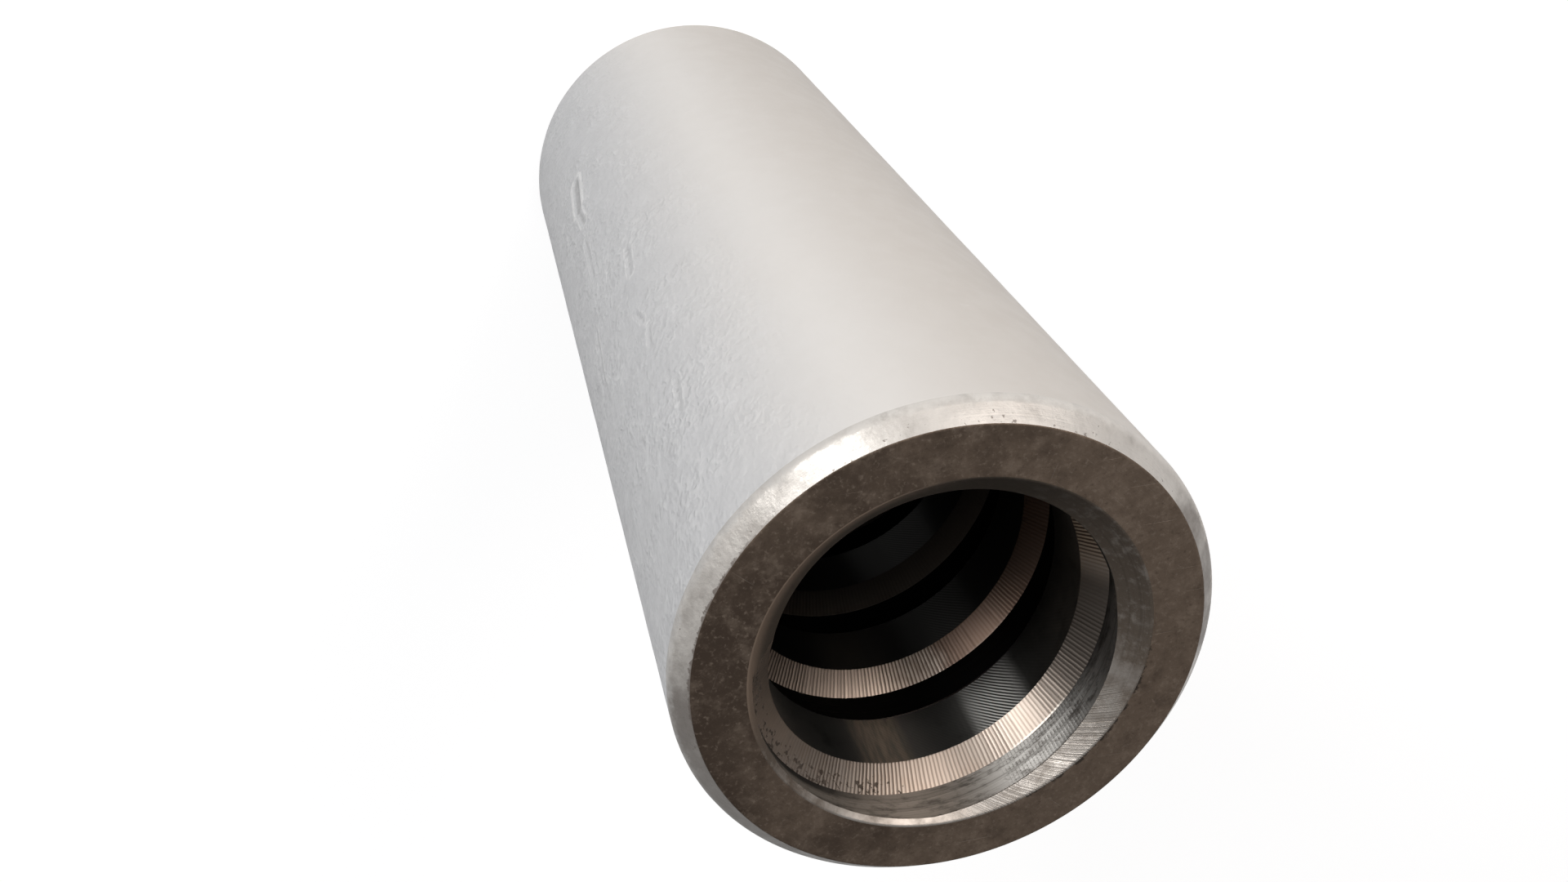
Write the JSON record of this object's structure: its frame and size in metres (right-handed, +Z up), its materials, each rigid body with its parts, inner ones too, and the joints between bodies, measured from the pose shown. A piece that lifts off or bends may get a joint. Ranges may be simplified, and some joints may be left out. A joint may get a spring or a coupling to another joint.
{
  "type": "rebar coupler",
  "caption": "Thick-walled turned steel sleeve with a coarse left-hand internal thread that joins two ribbed reinforcing bars end to end.",
  "frame": {"origin": "centre of the lower end face, with the sleeve standing on that end", "axes": "+Z up along the axis of the sleeve and its thread; the two ends are alike"},
  "size_m": [0.054, 0.054, 0.148],
  "materials": {
    "steel": "matte scaled skin outside, bare turned ends and thread"
  },
  "bodies": {
    "root": {"coupler_sleeve": "steel"}
  },
  "joints": []
}
